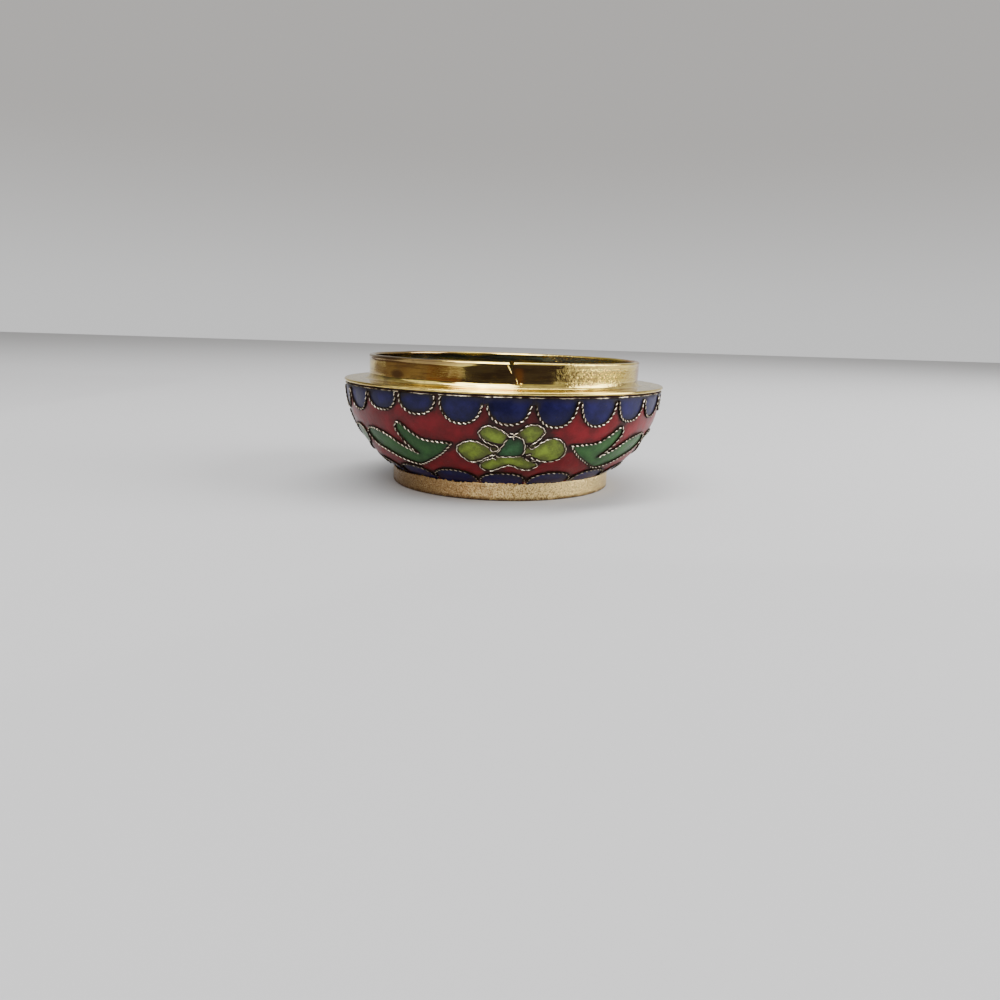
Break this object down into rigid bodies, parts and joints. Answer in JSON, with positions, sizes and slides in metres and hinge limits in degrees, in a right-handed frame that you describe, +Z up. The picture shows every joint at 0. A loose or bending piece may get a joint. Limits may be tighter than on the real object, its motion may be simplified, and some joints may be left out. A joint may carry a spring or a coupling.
{
  "type": "cloisonne enamel box base",
  "caption": "Lower half of a small round cloisonne trinket box: enamelled bowl with twisted-wire flowers, leaves and scallops, brass foot ring, and a brass collar with a shoulder for a lid.",
  "frame": {"origin": "on the box's axis, at the plane that its foot ring stands on", "axes": "+Z up along the box's axis, -Y towards the flower and the nick on the front, +X to the right seen from the front"},
  "size_m": [0.044, 0.044, 0.0174],
  "materials": {
    "enamel_red": "glossy opaque enamel",
    "enamel_blue": "glossy deep blue enamel",
    "enamel_leaf_green": "glossy enamel",
    "enamel_petal_green": "glossy yellow-green enamel",
    "enamel_centre_green": "glossy enamel",
    "enamel_inside": "glossy blue counter-enamel",
    "brass_polished": "polished, lightly worn",
    "brass_foot": "satin, grainy",
    "gilt_wire": "worn gilt"
  },
  "bodies": {
    "root": {"enamel_bowl": "enamel_red", "foot_ring": "brass_foot", "collar": "brass_polished", "border_wire": "gilt_wire", "upper_scallop_wire_1": "gilt_wire", "upper_scallop_wire_2": "gilt_wire", "upper_scallop_wire_3": "gilt_wire", "upper_scallop_wire_4": "gilt_wire", "upper_scallop_wire_5": "gilt_wire", "upper_scallop_wire_6": "gilt_wire", "upper_scallop_wire_7": "gilt_wire", "upper_scallop_wire_8": "gilt_wire", "upper_scallop_wire_9": "gilt_wire", "upper_scallop_wire_10": "gilt_wire", "upper_scallop_wire_11": "gilt_wire", "upper_scallop_wire_12": "gilt_wire", "upper_scallop_wire_13": "gilt_wire", "upper_scallop_wire_14": "gilt_wire", "upper_scallop_wire_15": "gilt_wire", "upper_scallop_wire_16": "gilt_wire", "upper_scallop_wire_17": "gilt_wire", "upper_scallop_wire_18": "gilt_wire", "upper_scallop_wire_19": "gilt_wire", "upper_scallop_wire_20": "gilt_wire", "upper_scallop_wire_21": "gilt_wire", "upper_scallop_wire_22": "gilt_wire", "upper_scallop_wire_23": "gilt_wire", "upper_scallop_wire_24": "gilt_wire", "lower_scallop_wire_1": "gilt_wire", "lower_scallop_wire_2": "gilt_wire", "lower_scallop_wire_3": "gilt_wire", "lower_scallop_wire_4": "gilt_wire", "lower_scallop_wire_5": "gilt_wire", "lower_scallop_wire_6": "gilt_wire", "lower_scallop_wire_7": "gilt_wire", "lower_scallop_wire_8": "gilt_wire", "lower_scallop_wire_9": "gilt_wire", "lower_scallop_wire_10": "gilt_wire", "lower_scallop_wire_11": "gilt_wire", "lower_scallop_wire_12": "gilt_wire", "lower_scallop_wire_13": "gilt_wire", "lower_scallop_wire_14": "gilt_wire", "lower_scallop_wire_15": "gilt_wire", "lower_scallop_wire_16": "gilt_wire", "lower_scallop_wire_17": "gilt_wire", "flower_wire_1": "gilt_wire", "right_leaf_wire_1": "gilt_wire", "left_leaf_wire_1": "gilt_wire", "flower_wire_2": "gilt_wire", "right_leaf_wire_2": "gilt_wire", "left_leaf_wire_2": "gilt_wire", "flower_wire_3": "gilt_wire", "right_leaf_wire_3": "gilt_wire", "left_leaf_wire_3": "gilt_wire"}
  },
  "joints": []
}
